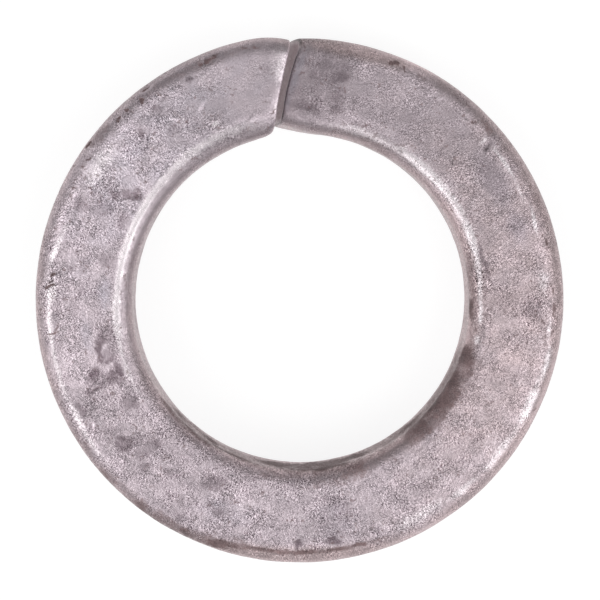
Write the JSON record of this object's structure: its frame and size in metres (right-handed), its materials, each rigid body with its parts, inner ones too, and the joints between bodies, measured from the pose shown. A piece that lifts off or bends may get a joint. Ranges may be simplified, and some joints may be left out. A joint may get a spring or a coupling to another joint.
{
  "type": "spring lock washer",
  "caption": "Split spring lock washer: rounded square steel wire coiled into a ring and cut through on a slant, its ends offset in height so that they bite when tightened.",
  "frame": {"origin": "on the bore's axis, level with the lowest point of the low end", "axes": "+Z along the bore towards the raised end, +Y towards the split, so that the washer lies flat as it does on a bench"},
  "size_m": [0.039, 0.039, 0.0095],
  "materials": {
    "galvanised_steel": "hot-dip galvanised spring steel, dull mottled zinc with dark stains, fine pebbled grain and polished high edges"
  },
  "bodies": {
    "root": {"washer": "galvanised_steel"}
  },
  "joints": []
}
